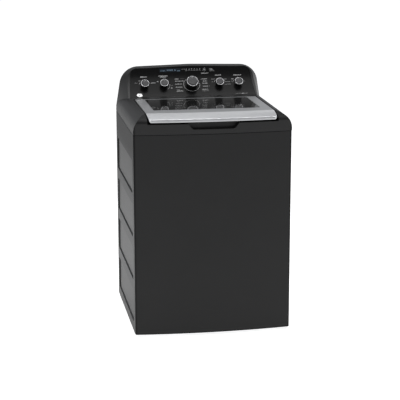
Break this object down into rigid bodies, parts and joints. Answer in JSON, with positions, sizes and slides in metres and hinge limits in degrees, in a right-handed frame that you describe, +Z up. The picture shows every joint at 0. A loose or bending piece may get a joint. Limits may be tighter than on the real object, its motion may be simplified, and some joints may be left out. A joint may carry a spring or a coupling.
{
  "type": "top load washing machine",
  "caption": "Top load washing machine with a bowed front, glass lid, rear knob console, spring-hung tub, spinning basket and belt-driven agitator plate.",
  "frame": {"origin": "on the floor under the middle of the machine's bounding box", "axes": "+X to the right seen from the front, -Y to the front, +Z up"},
  "size_m": [0.686, 0.683, 1.1077],
  "materials": {
    "painted_steel": "satin dark grey enamel",
    "cover_enamel": "satin dark grey enamel",
    "housing_plastic": "dark grey moulding",
    "fascia_gloss": "gloss black",
    "display_lens": "dark tinted lens",
    "silver_frame": "fine satin silver",
    "tinted_glass": "tempered, dark tint",
    "liner_plastic": "matte",
    "knob_body": "gloss black with a bright ring",
    "button_plastic": "satin",
    "galvanised": "galvanised",
    "machined_steel": "machined",
    "stainless": "brushed stainless",
    "tub_plastic": "moulded polypropylene",
    "grey_plastic": "moulded",
    "white_plastic": "moulded",
    "motor_paint": "painted steel",
    "cast_alloy": "die cast",
    "rubber_black": "matte",
    "belt_rubber": "ribbed",
    "circuit_board": "coated"
  },
  "bodies": {
    "cabinet": {"front_panel": "painted_steel", "left_side_panel": "painted_steel", "right_side_panel": "painted_steel", "rear_panel": "galvanised", "rear_screws": "machined_steel", "base_frame": "galvanised", "foot_studs": "machined_steel", "foot_pads": "rubber_black", "foot_lock_nuts": "machined_steel", "top_cover": "cover_enamel", "bleach_cup": "grey_plastic", "lid_lock": "white_plastic", "hinge_brackets": "grey_plastic", "console_housing": "housing_plastic", "console_fascia": "fascia_gloss", "console_rear_cover": "galvanised", "display_window": "display_lens", "control_board": "circuit_board", "selector_encoders": "machined_steel", "water_inlet_valve": "white_plastic", "fill_hose": "rubber_black", "fill_nozzle": "grey_plastic", "cord_gland": "white_plastic", "drain_outlet": "white_plastic", "drain_hose": "grey_plastic", "drain_pump": "white_plastic", "sump_bellows": "rubber_black", "suspension_rods": "machined_steel", "suspension_end_caps": "white_plastic", "suspension_brackets": "galvanised", "suspension_springs": "machined_steel"},
    "lid": {"lid_frame": "silver_frame", "lid_glass": "tinted_glass", "lid_liner": "liner_plastic", "lid_strike": "white_plastic", "lid_hinge_pins": "machined_steel"},
    "tub": {"outer_tub": "tub_plastic", "tub_cover_ring": "tub_plastic", "drive_platform": "galvanised", "gearcase": "cast_alloy", "tub_bearings": "machined_steel", "drive_motor": "motor_paint", "mode_shifter": "white_plastic", "drive_belt": "belt_rubber"},
    "basket": {"wash_basket": "stainless", "basket_base": "grey_plastic", "balance_ring": "grey_plastic", "spin_tube": "machined_steel"},
    "agitator": {"impeller": "grey_plastic", "impeller_cap": "grey_plastic", "agitator_shaft": "machined_steel"},
    "drive_pulley": {"gearcase_pulley": "cast_alloy"},
    "motor_shaft": {"motor_pulley": "cast_alloy"},
    "cycle_selector": {"cycle_knob": "knob_body"},
    "temperature_selector": {"water_temperature_knob": "knob_body"},
    "soil_selector": {"soil_level_knob": "knob_body"},
    "options_selector": {"rinse_options_knob": "knob_body"},
    "softener_selector": {"softener_knob": "knob_body"},
    "start_button": {"start_pause_button": "button_plastic"},
    "fill_button": {"deep_fill_button": "button_plastic"}
  },
  "joints": [
    {"name": "lid_hinge", "type": "hinge", "parent": "cabinet", "child": "lid", "pos_m": [0, 0.13, 0.962], "axis": [-1, 0, 0], "range_deg": [0, 98]},
    {"name": "tub_suspension", "type": "slide", "parent": "cabinet", "child": "tub", "axis": [0, 0, 1], "range_m": [-0.03, 0], "stiffness_N_per_m": 9000, "springref_m": 0.06, "deforming": ["suspension_springs", "sump_bellows"]},
    {"name": "basket_spin", "type": "hinge", "parent": "tub", "child": "basket", "pos_m": [0, -0.005, 0.338], "axis": [0, 0, 1], "continuous": true},
    {"name": "agitator_turn", "type": "hinge", "parent": "basket", "child": "agitator", "pos_m": [0, -0.005, 0.347], "axis": [0, 0, 1], "continuous": true},
    {"name": "gearcase_pulley_turn", "type": "hinge", "parent": "tub", "child": "drive_pulley", "pos_m": [0, -0.005, 0.164], "axis": [0, 0, 1], "continuous": true},
    {"name": "motor_pulley_turn", "type": "hinge", "parent": "tub", "child": "motor_shaft", "pos_m": [0.172, -0.005, 0.164], "axis": [0, 0, 1], "continuous": true},
    {"name": "cycle_knob_turn", "type": "hinge", "parent": "cabinet", "child": "cycle_selector", "pos_m": [0, 0.2357, 1.0225], "axis": [0, -0.766, 0.6428], "continuous": true},
    {"name": "temperature_knob_turn", "type": "hinge", "parent": "cabinet", "child": "temperature_selector", "pos_m": [-0.2194, 0.2357, 1.0225], "axis": [0, -0.766, 0.6428], "range_deg": [-60, 60]},
    {"name": "soil_knob_turn", "type": "hinge", "parent": "cabinet", "child": "soil_selector", "pos_m": [-0.1298, 0.2357, 1.0225], "axis": [0, -0.766, 0.6428], "range_deg": [-60, 60]},
    {"name": "options_knob_turn", "type": "hinge", "parent": "cabinet", "child": "options_selector", "pos_m": [0.1298, 0.2357, 1.0225], "axis": [0, -0.766, 0.6428], "range_deg": [-60, 60]},
    {"name": "softener_knob_turn", "type": "hinge", "parent": "cabinet", "child": "softener_selector", "pos_m": [0.2194, 0.2357, 1.0225], "axis": [0, -0.766, 0.6428], "range_deg": [-60, 60]},
    {"name": "start_button_press", "type": "slide", "parent": "cabinet", "child": "start_button", "axis": [0, 0.9139, -0.4059], "range_m": [0, 0.0015], "stiffness_N_per_m": 400, "springref_m": -0.001},
    {"name": "fill_button_press", "type": "slide", "parent": "cabinet", "child": "fill_button", "axis": [0, 0.9122, -0.4097], "range_m": [0, 0.0015], "stiffness_N_per_m": 400, "springref_m": -0.001}
  ],
  "couplings": [
    {"joint": "gearcase_pulley_turn", "follows": "agitator_turn", "ratio": 6},
    {"joint": "motor_pulley_turn", "follows": "agitator_turn", "ratio": 22.5}
  ]
}
